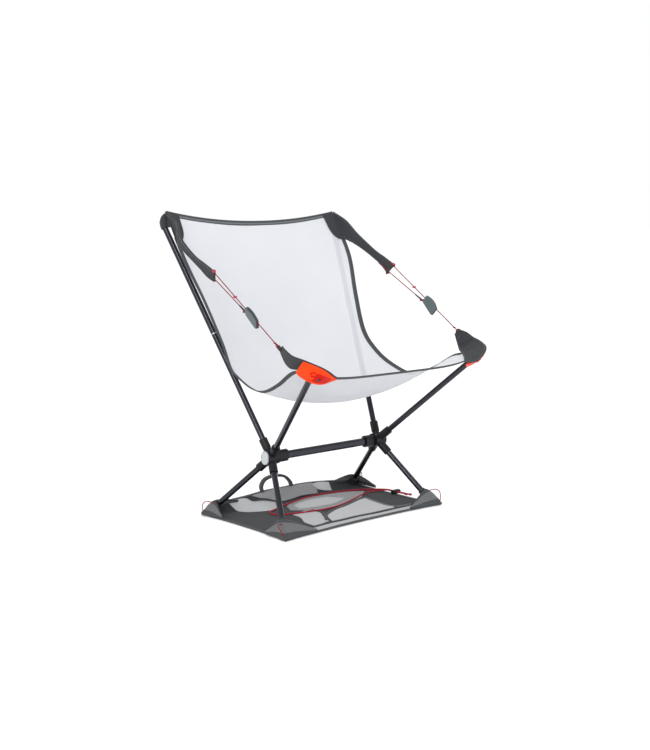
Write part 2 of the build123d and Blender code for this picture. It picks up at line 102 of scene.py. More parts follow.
strip_light("key", (-2.2, -1.5, 1.6), 0.3, 3.6, 48)
strip_light("side", (0.9, -2.6, 1.3), 0.12, 2.4, 9)
strip_light("back", (1.4, 2.2, 2.4), 0.3, 2.0, 12)
world = bpy.data.worlds.new("studio")
bpy.context.scene.world = world
world.use_nodes = True
world.node_tree.nodes["Background"].inputs["Color"].default_value = (1, 1, 1, 1)
world.node_tree.nodes["Background"].inputs["Strength"].default_value = 1.0


# ---------------------------------------------------------------- materials
class Shader:
    """A node material with a few building blocks: colour variation, grain and weave."""

    def __init__(self, name, base, roughness, metallic=0.0, coords="Object"):
        self.material = bpy.data.materials.new(name)
        self.material.use_nodes = True
        self.tree = self.material.node_tree
        self.bsdf = self.tree.nodes["Principled BSDF"]
        self.bsdf.inputs["Base Color"].default_value = (*base, 1)
        self.bsdf.inputs["Roughness"].default_value = roughness
        self.bsdf.inputs["Metallic"].default_value = metallic
        self.base = base
        self.coords = self.node("ShaderNodeTexCoord").outputs[coords]
        self.height = None
        self.color = None

    def node(self, kind, **settings):
        made = self.tree.nodes.new(kind)
        for key, value in settings.items():
            setattr(made, key, value)
        return made

    def link(self, a, b):
        self.tree.links.new(a, b)

    def math(self, operation, a, b=None):
        made = self.node("ShaderNodeMath", operation=operation)
        for slot, value in zip(made.inputs, (a, b)):
            if value is None:
                continue
            if isinstance(value, (int, float)):
                slot.default_value = value
            else:
                self.link(value, slot)
        return made.outputs[0]

    def noise(self, scale, detail=3.0):
        made = self.node("ShaderNodeTexNoise")
        made.inputs["Scale"].default_value = scale
        made.inputs["Detail"].default_value = detail
        self.link(self.coords, made.inputs["Vector"])
        return made.outputs["Fac"]

    def bands(self, period, direction):
        made = self.node("ShaderNodeTexWave", wave_type="BANDS", bands_direction=direction)
        made.inputs["Scale"].default_value = 2 * math.pi / (20 * period)
        self.link(self.coords, made.inputs["Vector"])
        return made.outputs["Fac"]

    def mix(self, factor, dark, light):
        made = self.node("ShaderNodeMix", data_type="RGBA")
        self.link(factor, made.inputs["Factor"])
        for slot, value in ((made.inputs[6], dark), (made.inputs[7], light)):
            if isinstance(value, tuple):
                slot.default_value = (*value, 1)
            else:
                self.link(value, slot)
        return made.outputs[2]

    def vary(self, scale=35.0, amount=0.16):
        dark = tuple(c * (1 - amount) for c in self.base)
        light = tuple(min(1.0, c * (1 + amount)) for c in self.base)
        self.color = self.mix(self.noise(scale), dark, light)
        return self

    def grain(self, scale=900.0, weight=0.5):
        self._add(self.math("MULTIPLY", self.noise(scale, 2.0), weight))
        return self

    def weave(self, period=0.0011, across="X", along="Y", weight=1.0, shade=0.25):
        crossed = self.math("MULTIPLY", self.bands(period, across), self.bands(period, along))
        self._add(self.math("MULTIPLY", crossed, weight))
        dark = tuple(c * (1 - shade) for c in self.base)
        light = self.color if self.color is not None else self.base
        self.color = self.mix(crossed, dark, light)
        return self

    def _add(self, height):
        self.height = height if self.height is None else self.math("ADD", self.height, height)

    def done(self, bump=0.0002, **constants):
        if self.color is not None:
            self.link(self.color, self.bsdf.inputs["Base Color"])
        if self.height is not None:
            made = self.node("ShaderNodeBump")
            made.inputs["Distance"].default_value = bump
            made.inputs["Strength"].default_value = 0.7
            self.link(self.height, made.inputs["Height"])
            self.link(made.outputs["Normal"], self.bsdf.inputs["Normal"])
        for key, value in constants.items():
            self.bsdf.inputs[key.replace("_", " ")].default_value = value
        return self.material


def fabric(name, base, period=0.0011, rough=0.86, shade=0.3):
    made = Shader(name, base, rough, coords="UV").vary(45, 0.12).weave(period, shade=shade).grain(700, 0.3)
    return made.done(0.00015, Sheen_Weight=0.05, Sheen_Roughness=0.5, Specular_IOR_Level=0.2)


def mesh_cloth(name, base, opacity, period, rough=0.75):
    """An open knit: threads between see-through holes."""
    made = Shader(name, base, rough, coords="UV").vary(14, 0.04)
    threads = made.math("MAXIMUM", made.bands(period, "X"), made.bands(period, "Y"))
    made._add(threads)
    covered = made.math("MULTIPLY", made.math("POWER", threads, 1.6), 2 * (1 - opacity))
    alpha = made.math("MINIMUM", made.math("ADD", covered, 2 * opacity - 1), 1.0)
    made.link(alpha, made.bsdf.inputs["Alpha"])
    return made.done(0.00012, Sheen_Weight=0.15)


black_tube = Shader("anodised", (0.022, 0.024, 0.032), 0.16, 0.85).vary(60, 0.2).grain(2200, 0.2)
POLE = black_tube.done(0.00003, Coat_Weight=0.35, Coat_Roughness=0.14)
HUB = Shader("black_nylon", (0.006, 0.0065, 0.009), 0.4).vary(50, 0.2).grain(1500)
HUB = HUB.done(0.00012, Specular_IOR_Level=0.25)
CAP = Shader("pale_nylon", (0.42, 0.44, 0.46), 0.45).vary(70, 0.08).grain(1500).done(0.0001)
STEEL = Shader("steel", (0.5, 0.5, 0.52), 0.3, 1.0).vary(90, 0.1).grain(2000).done(0.00004)
RUBBER = Shader("rubber", (0.018, 0.018, 0.02), 0.7).vary(60, 0.2).grain(1200).done(0.0002)
ORANGE = Shader("orange_nylon", (0.86, 0.045, 0.002), 0.38).vary(50, 0.07).grain(1300, 0.4)
ORANGE = ORANGE.done(0.0001, Specular_IOR_Level=0.12)
# Orange darkened to a deep red: painted shade for the socket's shaded half and its recess.
PAINTED_SHADE_RED = Shader("orange_painted_shade", (0.5, 0.005, 0.002), 0.38).vary(50, 0.07).grain(1300, 0.4)
PAINTED_SHADE_RED = PAINTED_SHADE_RED.done(0.0001, Specular_IOR_Level=0.15)
ADJUSTER = Shader("adjuster_nylon", (0.065, 0.09, 0.095), 0.5).vary(60, 0.12).grain(1500).done(0.00012)
# Near-black painted shade: the adjuster's side walls, the crease of each corner flap and the socket's hole.
PAINTED_SHADE_DARK = Shader("painted_shade_dark", (0.02, 0.022, 0.024), 0.5).vary(60, 0.2).grain(1500).done(0.0001)
PATCH = fabric("patch_fabric", (0.045, 0.048, 0.053), 0.0009)
TAPE = fabric("edge_tape", (0.068, 0.075, 0.08), 0.0013)
TAPE_LIGHT = fabric("edge_tape_light", (0.17, 0.18, 0.19), 0.0013)
STITCH = Shader("thread", (0.13, 0.135, 0.145), 0.7).vary(80, 0.15).grain(1500).done(0.0001)
SLING = mesh_cloth("sling_mesh", (0.56, 0.575, 0.61), 0.86, 0.0013)
SHEET_DARK = fabric("sheet_dark", (0.035, 0.038, 0.043), 0.0016)
SHEET_LIGHT = fabric("sheet_light", (0.48, 0.485, 0.5), 0.0016, shade=0.15)
SHEET_MID = fabric("sheet_mid", (0.29, 0.292, 0.3), 0.0016, shade=0.2)
POCKET_MESH = mesh_cloth("pocket_mesh", (0.5, 0.5, 0.52), 0.8, 0.002)
HOOD_MESH = mesh_cloth("hood_mesh", (0.12, 0.124, 0.128), 0.8, 0.002)
WEBBING = fabric("webbing", (0.07, 0.072, 0.078), 0.0022)


def braid(name, base, period):
    made = Shader(name, base, 0.62).vary(400, 0.25)
    made.weave(period, "DIAGONAL", "Z", shade=0.45)
    return made.done(0.0002, Specular_IOR_Level=0.25)


RED_CORD = braid("red_cord", (0.3, 0.01, 0.02), 0.0016)
DARK_CORD = braid("dark_cord", (0.05, 0.045, 0.045), 0.0016)
BUNGEE = braid("bungee_cord", (0.5, 0.006, 0.03), 0.002)
RED_BEAD = Shader("red_bead", (0.36, 0.012, 0.035), 0.4).vary(300, 0.2).grain(1500).done(0.0001)

# The first key that is part of a CAD node's name gives its finish.
FINISHES = (
    ("hub_cap", CAP), ("hub_pins", STEEL), ("hub", HUB), ("knuckle", HUB), ("foot", RUBBER),
    ("front_ball", HUB), ("rear_tip", CAP), ("cord_lock", HUB), ("spring", STEEL), ("ferrules", STEEL),
    ("shock_cords", DARK_CORD), ("stop_bead", RED_BEAD), ("crossbar", POLE), ("leg", POLE), ("pole", POLE),
)
for node_name, piece in nodes.items():
    chosen = next((finish for key, finish in FINISHES if key in node_name), PATCH)
    piece.data.materials.clear()
    piece.data.materials.append(chosen)


# ---------------------------------------------------------------- mesh building blocks
def add_mesh(name, points, faces, material, uvs=None, smooth=True):
    data = bpy.data.meshes.new(name)
    data.from_pydata([tuple(p) for p in points], [], faces)
    data.materials.append(material)
    if uvs:
        layer = data.uv_layers.new(name="UVMap")
        for loop in data.loops:
            layer.data[loop.index].uv = uvs[loop.vertex_index]
    if smooth:
        for polygon in data.polygons:
            polygon.use_smooth = True
    made = bpy.data.objects.new(name, data)
    bpy.context.scene.collection.objects.link(made)
    return made


def grid(name, rows, material, thickness=0.0):
    """A surface through rows of points, with UVs in metres along both ways."""
    count = len(rows[0])
    points = [p for row in rows for p in row]
    faces = [
        (i * count + j, i * count + j + 1, (i + 1) * count + j + 1, (i + 1) * count + j)
        for i in range(len(rows) - 1)
        for j in range(count - 1)
    ]
    uvs = []
    down = 0.0
    for i, row in enumerate(rows):
        if i:
            down += (row[count // 2] - rows[i - 1][count // 2]).length
        across = 0.0
        for j, p in enumerate(row):
            if j:
                across += (p - row[j - 1]).length
            uvs.append((across, down))
    made = add_mesh(name, points, faces, material, uvs)
    if thickness:
        solid = made.modifiers.new("thickness", "SOLIDIFY")
        solid.thickness = thickness
        solid.offset = 0.0
    return made


def soften(piece, levels=1, bevel=0.0):
    if bevel:
        made = piece.modifiers.new("edges", "BEVEL")
        made.width = bevel
        made.segments = 3
        made.limit_method = "ANGLE"
    if levels:
        made = piece.modifiers.new("smooth", "SUBSURF")
        made.levels = made.render_levels = levels
    return piece


def bezier(points, t):
    points = list(points)
    while len(points) > 1:
        points = [a.lerp(b, t) for a, b in zip(points, points[1:])]
    return points[0]


def smooth_path(points, per_span=8):
    """A Catmull-Rom curve through a few points."""
    ends = [points[0] * 2 - points[1], *points, points[-1] * 2 - points[-2]]
    out = []
    for a, b, c, d in zip(ends, ends[1:], ends[2:], ends[3:]):
        squared = 2 * a - 5 * b + 4 * c - d
        cubed = 3 * b - a - 3 * c + d
        for k in range(per_span):
            t = k / per_span
            out.append(0.5 * (2 * b + (c - a) * t + squared * t * t + cubed * t**3))
    return out + [points[-1]]


def tube_mesh(name, path, radius, material, sides=12, closed_ends=True):
    points = []
    up = Vector((0.31, 0.23, 0.92))
    for i, p in enumerate(path):
        tangent = (path[min(i + 1, len(path) - 1)] - path[max(i - 1, 0)]).normalized()
        side = tangent.cross(up).normalized()
        up = side.cross(tangent)
        r = radius(i / (len(path) - 1)) if callable(radius) else radius
        for k in range(sides):
            angle = 2 * math.pi * k / sides
            points.append(p + (side * math.cos(angle) + up * math.sin(angle)) * r)
    faces = [
        (i * sides + k, i * sides + (k + 1) % sides, (i + 1) * sides + (k + 1) % sides, (i + 1) * sides + k)
        for i in range(len(path) - 1)
        for k in range(sides)
    ]
    if closed_ends:
        faces.append(tuple(reversed(range(sides))))
        faces.append(tuple((len(path) - 1) * sides + k for k in range(sides)))
    return add_mesh(name, points, faces, material)


def tape(name, path, across, width, material, thickness=0.0018):
    """A flat strap along a path; across gives its width direction at each point."""
    columns = 7
    rows = []
    for i, p in enumerate(path):
        direction = across[i].normalized()
        rows.append([p + direction * width * (k / (columns - 1) - 0.5) for k in range(columns)])
    made = grid(name, rows, material, thickness)
    return soften(made, 0, thickness * 0.3)


def stitches(name, path, material=STITCH, pitch=0.0045, length=0.003, radius=0.0004):
    """A row of thread dashes along a path."""
    points = []
    faces = []
    travelled = 0.0
    for a, b in zip(path, path[1:]):
        step = (b - a).length
        place = math.ceil(travelled / pitch) * pitch
        while place < travelled + step and step:
            direction = (b - a) / step
            start = a + direction * (place - travelled)
            end = start + direction * length
            side = direction.orthogonal().normalized() * radius
            other = direction.cross(side).normalized() * radius
            first = len(points)
            for p in (start, end):
                points += [p + side, p + other, p - side, p - other]
            for k in range(4):
                after = (k + 1) % 4
                faces.append((first + k, first + after, first + 4 + after, first + 4 + k))
            faces += [(first + 3, first + 2, first + 1, first), (first + 4, first + 5, first + 6, first + 7)]
            place += pitch
        travelled += step
    return add_mesh(name, points, faces, material, smooth=False)


def cord_curve(name, points, diameter, material):
    """One smooth spline of round section with the given control points."""
    data = bpy.data.curves.new(name, "CURVE")
    data.dimensions = "3D"
    data.bevel_depth = diameter / 2
    data.bevel_resolution = 4
    data.resolution_u = 8
    data.use_fill_caps = True
    spline = data.splines.new("NURBS")
    spline.points.add(len(points) - 1)
    for knot, point in zip(spline.points, points):
        knot.co = (*point, 1)
    spline.order_u = 3
    spline.use_endpoint_u = True
    data.materials.append(material)
    made = bpy.data.objects.new(name, data)
    bpy.context.scene.collection.objects.link(made)
    return made


# ---------------------------------------------------------------- ground cords
CORD_D = 0.002
BUNGEE_D = 0.003
KNOT_STEPS = 48
# Heights of the elastic cord on the sheet and through the lock, and the x of its two strands at the lock, in
# millimetres. The strands are straight there, so that the lock can slide.
LOW = 3.8
HIGH = 7.6
OUTER_X = 224.3
INNER_X = 219.7
BUNGEE_ROUTE = (
    (OUTER_X, -36, HIGH), (OUTER_X, -16, HIGH), (OUTER_X, 8, HIGH), (OUTER_X, 28, HIGH),
    (OUTER_X, 36, HIGH), (214, 66, LOW + 1), (186, 88, LOW), (140, 106, LOW),
    (84, 115, LOW), (22, 109, LOW), (-40, 88, LOW), (-92, 68, LOW), (-118, 54, LOW), (-119, 32, LOW),
    (-96, 16, LOW), (-48, 6, LOW), (8, -4, LOW), (62, 8, LOW), (114, 30, LOW), (164, 52, LOW),
    (198, 56, LOW + 1),
    (INNER_X, 32, HIGH), (INNER_X, 26, HIGH), (INNER_X, 8, HIGH), (INNER_X, -12, HIGH), (INNER_X, -28, HIGH),
)
bungee = cord_curve("bungee_cord", [mm(*p) for p in BUNGEE_ROUTE], BUNGEE_D, BUNGEE)
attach(bungee, "sheet")
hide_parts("bungee")


def knot_mesh(name, place, size, material):
    """A small overhand knot: a thick cord wound round itself."""
    turns = []
    for k in range(KNOT_STEPS + 1):
        t = 2 * math.pi * k / KNOT_STEPS
        over = math.sin(t) + 2 * math.sin(2 * t)
        back = math.cos(t) - 2 * math.cos(2 * t)
        turns.append(place + Vector((over, back, -math.sin(3 * t))) * size)
    return tube_mesh(name, turns, size * 0.95, material, 8, False)


for place, label in ((mm(OUTER_X, -37, HIGH), "outer"), (mm(INNER_X, -29, HIGH), "inner")):
    knot = knot_mesh(f"bungee_knot_{label}", place, 0.0012, BUNGEE)
    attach(knot, "sheet")

# Spring of the cord lock, which shortens as the button goes in.
SPRING_WIRE = 0.00025
SPRING_TURNS = 2.2
COIL_STEPS = 70
low_corner, high_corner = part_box("lock_spring")
spring_centre = (low_corner + high_corner) / 2
coil_radius = (high_corner.z - low_corner.z) / 2 - SPRING_WIRE
coil_start = low_corner.x + SPRING_WIRE
coil_length = high_corner.x - low_corner.x - 2 * SPRING_WIRE
coil_path = []
for k in range(COIL_STEPS + 1):
    angle = 2 * math.pi * SPRING_TURNS * k / COIL_STEPS
    coil_y = spring_centre.y + coil_radius * math.cos(angle)
    coil_z = spring_centre.z + coil_radius * math.sin(angle)
    coil_path.append(Vector((coil_start + coil_length * k / COIL_STEPS, coil_y, coil_z)))
coil = tube_mesh("lock_spring_coil", coil_path, SPRING_WIRE, STEEL, 8)
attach(coil, "cord_lock")
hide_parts("lock_spring")
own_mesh(coil)

# ---------------------------------------------------------------- tension cords
TAB = mm(257, -146, 382)
WING_END = mm(257, 53, 519)
LINE = (WING_END - TAB).normalized()
WING_TILT = math.radians(23.6)
IN_PLANE = Vector((0, LINE.z, -LINE.y))
WIDTH = Vector((-math.sin(WING_TILT), IN_PLANE.y * math.cos(WING_TILT), IN_PLANE.z * math.cos(WING_TILT)))
FACE = LINE.cross(WIDTH).normalized()
ADJUSTER_AT = 0.100
ADJUSTER_HALF = 0.020
BEAD_AT = 0.161
LINE_LENGTH = (WING_END - TAB).length
# The main cord goes on past the strap's end by MAIN_TAIL. The return strand enters the strap RETURN_DROP
# from the main cord's line and goes RETURN_HIDDEN further in.
MAIN_TAIL = 0.0175
RETURN_DROP = 0.0168
RETURN_HIDDEN = 0.035


def on_line(distance, down=0.0, out=0.0):
    """A point of the +X side by its distance from the tab, its drop across the strap and its lift off it."""
    return TAB + LINE * distance + WIDTH * down + FACE * out


for name, side in SIDES:
    start = on_line(0.001)
    end = on_line(LINE_LENGTH + MAIN_TAIL)
    points = [mirrored(side, start.lerp(end, t)) for t in (0, 0.34, 0.67, 1)]
    main = cord_curve(f"tension_cord_{name}", points, CORD_D, RED_CORD)
    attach(main, f"cord_{name}")
    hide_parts(f"main_cord_{name}")
    loop = tube_mesh(
        f"tension_cord_eye_{name}",
        smooth_path(
            [
                mirrored(side, on_line(0.013)),
                mirrored(side, on_line(0.006, 0, 0.0028)),
                mirrored(side, on_line(0, 0, 0.0028)),
                mirrored(side, on_line(-0.001, 0, 0)),
                mirrored(side, on_line(0, 0, -0.0028)),
                mirrored(side, on_line(0.006, 0, -0.0028)),
                mirrored(side, on_line(0.013)),
            ],
            6,
        ),
        CORD_D / 2,
        RED_CORD,
    )
    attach(loop, f"cord_{name}")
    tie = knot_mesh(f"tension_cord_tie_{name}", mirrored(side, on_line(0.0145)), 0.0008, RED_CORD)
    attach(tie, f"cord_{name}")
    bead = knot_mesh(f"stop_knot_{name}", mirrored(side, on_line(BEAD_AT)), 0.00115, RED_BEAD)
    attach(bead, f"cord_{name}")
    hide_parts(f"stop_bead_{name}")

    far = ADJUSTER_AT + ADJUSTER_HALF
    anchor = on_line(far - 0.001, 0.008)
    mouth = on_line(LINE_LENGTH, RETURN_DROP)
    beyond = mouth + (mouth - anchor).normalized() * RETURN_HIDDEN
    points = [mirrored(side, anchor.lerp(beyond, t)) for t in (0, 0.33, 0.66, 1)]
    strand = cord_curve(f"return_strand_{name}", points, CORD_D, RED_CORD)
    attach(strand, f"adjuster_{name}")
    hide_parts(f"return_cord_{name}")
    along_return = (mouth - anchor).normalized()
    sleeve_path = [mirrored(side, anchor + along_return * d * MM) for d in (7, 9, 14, 20, 26)]
    sleeve = tube_mesh(f"cord_sleeve_{name}", sleeve_path, lambda t: 0.0021 - 0.0006 * t, DARK_CORD, 14)
    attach(sleeve, f"adjuster_{name}")
    knot = knot_mesh(f"return_knot_{name}", mirrored(side, anchor + along_return * 0.004), 0.00135, RED_CORD)
    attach(knot, f"adjuster_{name}")

# ---------------------------------------------------------------- sling
# Half width, centre (y, z) and edge (y, z) of crosswise sections, from the top hem to the front hem.
SECTIONS = (
    (239, (243, 617), (239, 639)),
    (243, (225, 577), (210, 595)),
    (240, (202, 520), (174, 535)),
    (222, (176, 438), (136, 457)),
    (209, (141, 349), (96, 375)),
    (215, (102, 296), (63, 331)),
    (222, (56, 261), (31, 308)),
    (222, (-11, 245), (-20, 288)),
    (223, (-62, 245), (-58, 287)),
    (228, (-117, 270), (-106, 306)),
    (235, (-171, 306), (-160, 336)),
    (238, (-216, 320), (-219, 340)),
)
section_line = smooth_path([Vector((w, *c)) * MM for w, c, e in SECTIONS], 8)
edge_line = smooth_path([Vector((w, *e)) * MM for w, c, e in SECTIONS], 8)
LAST = len(edge_line) - 1


def sling_point(place, across, lift=0.0):
    """A point of the sling: place from 0 at the top hem to 1 at the front hem, across from -1 to 1."""
    at = min(max(place, 0.0), 1.0) * LAST
    low = min(int(at), LAST - 1)
    centre = section_line[low].lerp(section_line[low + 1], at - low)
    edge = edge_line[low].lerp(edge_line[low + 1], at - low)
    flatter = min(max((place - 0.84) / 0.16, 0.0), 1.0)
    bow = abs(across) ** (2.1 + 3.2 * flatter * flatter * (3 - 2 * flatter))
    y = centre.y + (edge.y - centre.y) * bow
    z = centre.z + (edge.z - centre.z) * bow
    point = Vector((edge.x * across, y, z))
    if not lift:
        return point
    return point + sling_normal(place, across) * lift


def sling_normal(place, across):
    """The unit normal on the sitter's side."""
    step = 0.004
    along = sling_point(place + step, across) - sling_point(place - step, across)
    over = sling_point(place, min(across + step, 1)) - sling_point(place, max(across - step, -1))
    normal = over.cross(along).normalized()
    return normal if normal.y < 0 or normal.z > 0.5 else -normal


def wrinkle(place, across):
    """Shallow pulls that run from the hip towards the corners."""
    hip = math.exp(-(((place - 0.52) / 0.10) ** 2))
    edge = abs(across) ** 3
    pulls = math.sin(34 * place + 5 * across) * 0.0012 * hip * (0.3 + edge)
    seat = math.sin(9 * across + 11 * place) * 0.0006
    return pulls + seat * (1 - abs(across))


ROWS = 120
COLUMNS = 72
rows = [
    [
        sling_point(i / ROWS, 2 * j / COLUMNS - 1, wrinkle(i / ROWS, 2 * j / COLUMNS - 1))
        for j in range(COLUMNS + 1)
    ]
    for i in range(ROWS + 1)
]
sling = grid("sling", rows, SLING)


def across_hip(piece):
    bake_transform(piece)
    return piece


across_hip(sling)
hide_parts("seat_panel", "back_panel")

# The side tapes begin at SIDE_FROM and cover SIDE_SPAN of the sling's length.
SIDE_FROM = 0.105
SIDE_SPAN = 0.83
# Edge tape down both sides, a hem at the top with a paler middle line, a narrow one at the front.
for name, side in SIDES:
    stops = [SIDE_FROM + SIDE_SPAN * k / 90 for k in range(91)]
    path = [sling_point(t, side * 0.985, wrinkle(t, side * 0.985)) for t in stops]
    direction = [sling_point(t, side) - sling_point(t, side * 0.9) for t in stops]
    binding = tape(f"side_binding_{name}", path, direction, 0.010, TAPE, 0.0022)
    across_hip(binding)
    stops = [SIDE_FROM + SIDE_SPAN * k / 240 for k in range(241)]
    line = [sling_point(t, side * 0.972, 0.0014 + wrinkle(t, side * 0.972)) for t in stops]
    seam = across_hip(stitches(f"side_stitch_{name}", line))

hem_span = [2 * k / 60 - 1 for k in range(61)]
path = [sling_point(0.006, a) + Vector((0, 0, 0.001)) for a in hem_span]
top_hem = tape("top_hem_tape", path, [Vector((0, 0.25, 1))] * len(hem_span), 0.011, TAPE, 0.0026)
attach(top_hem, "backrest")
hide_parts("top_hem")
path = [p + Vector((0, -0.0016, -0.001)) for p in path]
light_line = tape("top_hem_line", path, [Vector((0, 0.25, 1))] * len(hem_span), 0.0035, TAPE_LIGHT, 0.0004)
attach(light_line, "backrest")
path = [sling_point(0.996, a * 0.97) for a in hem_span]
front_hem = tape("front_hem_tape", path, [Vector((0, -1, 0.45))] * len(hem_span), 0.009, TAPE, 0.0026)
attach(front_hem, "frame")
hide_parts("front_hem")
seam = stitches("front_hem_stitch", [sling_point(0.988, a * 0.94, 0.0012) for a in hem_span])
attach(seam, "frame")

# ---------------------------------------------------------------- rear corner patches and wing straps
PATCH_IN = 0.872
PATCH_LOW = 0.122
UPPER_EDGE = (
    mm(243, 240, 643), mm(244.5, 196, 622.5), mm(256, 172, 594.5), mm(260.5, 140, 570), mm(261.5, 110, 551),
    mm(260.5, 82, 538), mm(259.5, 52, 523),
)
LOWER_EDGE = (
    mm(239, 200, 579), mm(248, 182, 570.5), mm(254, 155, 556.5), mm(256, 124, 539.5), mm(256.5, 95, 522),
    mm(255, 77, 508), mm(250, 64, 500),
)
# The lower stitches stop this many path points short of the strap's end, clear of the return strand.
CORD_WAY = 7
for name, side in SIDES:
    rows = []
    for i in range(25):
        t = i / 24
        row = []
        rounding = 1 - math.sqrt(max(0.0, 1 - max(0.0, (t - 0.5) / 0.5) ** 2))
        reach = PATCH_IN + (1 - PATCH_IN) * rounding * 0.9
        for j in range(17):
            s = j / 16
            across = reach + (1.0 - reach) * s
            overhang = mirrored(side, mm(3 * s**4, -2 * s**4, 0))
            row.append(sling_point(PATCH_LOW * t, side * across, 0.0022) + overhang)
        rows.append(row)
    patch = grid(f"corner_patch_{name}", rows, PATCH, 0.0016)
    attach(patch, "backrest")
    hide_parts(f"rear_patch_{name}")
    rows = []
    top_line = smooth_path(UPPER_EDGE, 12)
    low_line = smooth_path(LOWER_EDGE, 12)
    count = 12
    for top, low in zip(top_line, low_line):
        row = []
        for k in range(count + 1):
            s = k / count
            row.append(mirrored(side, top.lerp(low, s) + FACE * 0.0016 * math.sin(math.pi * s)))
        rows.append(row)
    wing = soften(grid(f"wing_strap_{name}", rows, PATCH, 0.0034), 1)
    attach(wing, "backrest")
    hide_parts(f"side_wing_{name}")
    for tag, near, far_line in (("upper", top_line, low_line), ("lower", low_line, top_line)):
        line = [mirrored(side, p.lerp(q, 0.09) + FACE * 0.0024) for p, q in zip(near, far_line)]
        other = [mirrored(side, p.lerp(q, 0.09) - FACE * 0.0020) for p, q in zip(near, far_line)]
        for face, run in (("out", line), ("in", other)):
            if tag == "lower":
                run = run[:-CORD_WAY]
            seam = stitches(f"wing_stitch_{tag}_{face}_{name}", run)
            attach(seam, "backrest")
    root_top = top_line[13]
    root_low = low_line[8]
    for shift in (0, 0.003):
        run = [
            mirrored(side, (root_top + LINE * -shift).lerp(root_low + LINE * -shift, t / 10) - FACE * 0.0026)
            for t in range(11)
        ]
        seam = stitches(f"root_stitch_{int(shift * 1000)}_{name}", run)
        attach(seam, "backrest")
    tunnel_path = [mirrored(side, on_line(LINE_LENGTH + 0.001, d * MM)) for d in (-3.2, 2, 8, 14, 19, 22.6)]
    tunnel = tube_mesh(f"wing_tunnel_{name}", tunnel_path, 0.0029, PATCH, 16)
    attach(tunnel, "backrest")
    crossing = smooth_path(
        [
            mirrored(side, on_line(LINE_LENGTH - 0.005, 0.0)),
            mirrored(side, on_line(LINE_LENGTH - 0.0025, -0.0028)),
            mirrored(side, on_line(LINE_LENGTH + 0.001, -0.0042)),
            mirrored(side, on_line(LINE_LENGTH + 0.001, 0.011)),
            mirrored(side, on_line(LINE_LENGTH + 0.001, 0.0236)),
            mirrored(side, on_line(LINE_LENGTH - 0.0025, 0.0214)),
            mirrored(side, on_line(LINE_LENGTH - 0.005, 0.0166)),
        ],
        6,
    )
    cord_turn = tube_mesh(f"wing_cord_turn_{name}", crossing, 0.0012, RED_CORD)
    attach(cord_turn, "backrest")

    end_bead = tube_mesh(
        f"wing_end_bead_{name}",
        [mirrored(side, on_line(LINE_LENGTH + 0.001, d * MM)) for d in (-6.0, -5.4, -4.2, -2.6, -1.4, -1.0)],
        lambda t: 0.0021 + 0.0018 * math.sin(math.pi * t),
        RED_BEAD,
        14,
    )
    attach(end_bead, "backrest")

    # Sewn sleeve that holds the tip of the rear pole behind the corner.
    tip = mirrored(side, mm(244, 240, 610))
    hub_point = mirrored(side, mm(155, 0, 137))
    pole_line = (tip - hub_point).normalized()
    inner = pole_line.cross(Vector((0, 1, 0))).normalized()
    rows = []
    for i in range(11):
        t = i / 10
        ring = []
        r = 0.0076 + 0.0004 * math.sin(math.pi * t)
        centre = tip + pole_line * (-0.004 + 0.024 * t)
        toward_corner = mirrored(side, mm(242, 236, 638)) - centre
        for k in range(21):
            angle = 2 * math.pi * k / 20
            out = inner * math.cos(angle) + inner.cross(pole_line) * math.sin(angle)
            ring.append(centre + out * r * (1 - 0.55 * t**4) + toward_corner * 0.85 * t**2.2)
        rows.append(ring)
    pocket = grid(f"pole_sleeve_{name}", rows, PATCH, 0.0012)
    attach(pocket, "backrest")
    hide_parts(f"rear_pocket_{name}")
    rows_web = []
    for i in range(9):
        t = i / 8
        ring = rows[round(t * 10)]
        sleeve_side = sum(ring[:-1], Vector()) / (len(ring) - 1)
        edge_side = sling_point(0.064 * (1 - t), side * 0.985, 0.001)
        rows_web.append([sleeve_side.lerp(edge_side, k / 8) for k in range(9)])
    web = grid(f"sleeve_web_{name}", rows_web, PATCH, 0.0018)
    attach(web, "backrest")

# ---------------------------------------------------------------- front corners
# Outer and inner edges of the fabric patch, from the cord tab to the front hem.
PATCH_OUTER = (
    mm(254, -152, 387), mm(261, -166, 382.5), mm(262, -185, 373), mm(261, -199, 369), mm(256, -214, 365),
    mm(249, -231, 359), mm(241, -240, 354), mm(234, -245, 350), mm(221, -249, 342), mm(210, -249, 334.5),
    mm(199, -246, 329), mm(189, -237, 326.5),
)
PATCH_INNER = (
    mm(251, -140, 377), mm(250, -145, 366), mm(248, -152, 353), mm(243, -161, 343), mm(236, -171, 341),
    mm(228, -182, 339), mm(220, -192, 337), mm(213, -200, 334), mm(206, -207, 332), mm(200, -213, 330),
    mm(194, -220, 328), mm(187, -226, 326),
)
EYELET_R = 0.0046
# How far the middle of the flap bulges out, as a share of its width there.
FLAP_BULGE = 0.03
